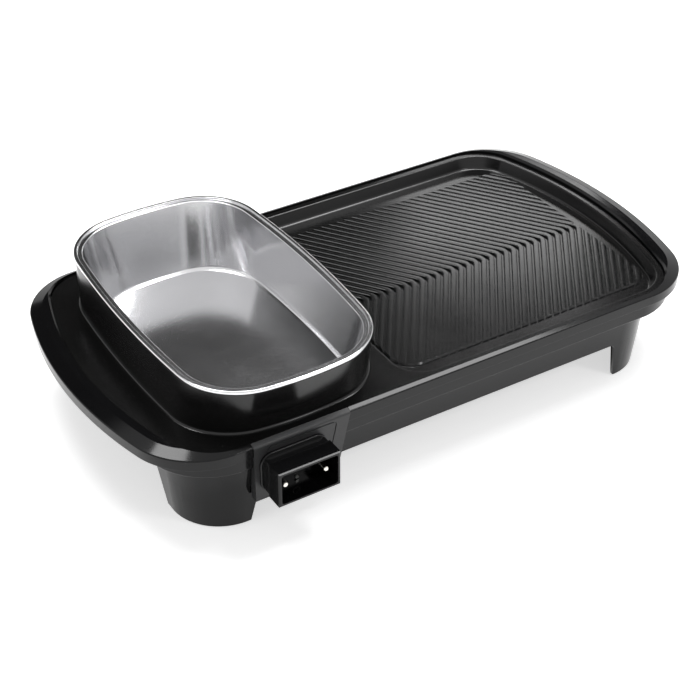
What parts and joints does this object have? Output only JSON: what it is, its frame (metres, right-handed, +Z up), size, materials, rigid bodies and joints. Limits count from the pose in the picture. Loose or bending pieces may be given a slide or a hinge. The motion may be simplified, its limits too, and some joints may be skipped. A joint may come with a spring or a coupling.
{
  "type": "electric teppanyaki grill",
  "caption": "Countertop electric grill: a ribbed plate and a lift-out pot in one heated casting, which lifts out of a moulded base with wing handles.",
  "frame": {"origin": "on the table, midway between the tips of the two handles and midway between the back of the frame and the face of the inlet", "axes": "+X along the grill away from the pot, +Y away from the power inlet, +Z up"},
  "size_m": [0.569, 0.3332, 0.1317],
  "materials": {
    "moulded_black": "gloss black moulded phenolic",
    "coated_casting": "satin non-stick coating on cast aluminium",
    "polished_steel": "polished stainless steel",
    "spreader_aluminium": "turned",
    "tray_aluminium": "bright rolled sheet",
    "element_steel": "heat-darkened tube",
    "plated_steel": "zinc plated",
    "bright_pin": "nickel plated",
    "conductor_brass": "rolled strip",
    "steatite": "unglazed",
    "pad_rubber": "matt silicone"
  },
  "bodies": {
    "base": {"top_frame": "moulded_black", "lower_shell": "moulded_black", "leg_front_left": "moulded_black", "leg_front_right": "moulded_black", "leg_back_left": "moulded_black", "leg_back_right": "moulded_black", "foot_pads": "pad_rubber", "leg_screws": "plated_steel", "frame_screws": "plated_steel", "heat_reflector": "tray_aluminium", "reflector_screws": "plated_steel"},
    "cooking_top": {"cooking_plate": "coated_casting", "pot_element": "element_steel", "grill_element": "element_steel", "element_seals": "steatite", "element_terminals": "plated_steel", "element_clamps": "plated_steel", "clamp_screws": "plated_steel", "inlet_housing": "moulded_black", "inlet_panel": "moulded_black", "inlet_screws": "plated_steel", "panel_screws": "plated_steel", "pin_block": "moulded_black", "terminal_pin_left": "bright_pin", "terminal_pin_right": "bright_pin", "sensor_sleeve": "plated_steel", "live_strap": "conductor_brass", "neutral_strap": "conductor_brass", "earth_strap": "conductor_brass", "earth_screw": "plated_steel"},
    "pot": {"inner_pot": "polished_steel", "pot_base": "spreader_aluminium"}
  },
  "joints": [
    {"name": "top_lift", "type": "slide", "parent": "base", "child": "cooking_top", "axis": [0, 0, 1], "range_m": [0, 0.06]},
    {"name": "pot_lift", "type": "slide", "parent": "cooking_top", "child": "pot", "axis": [0, 0, 1], "range_m": [0, 0.08]}
  ]
}
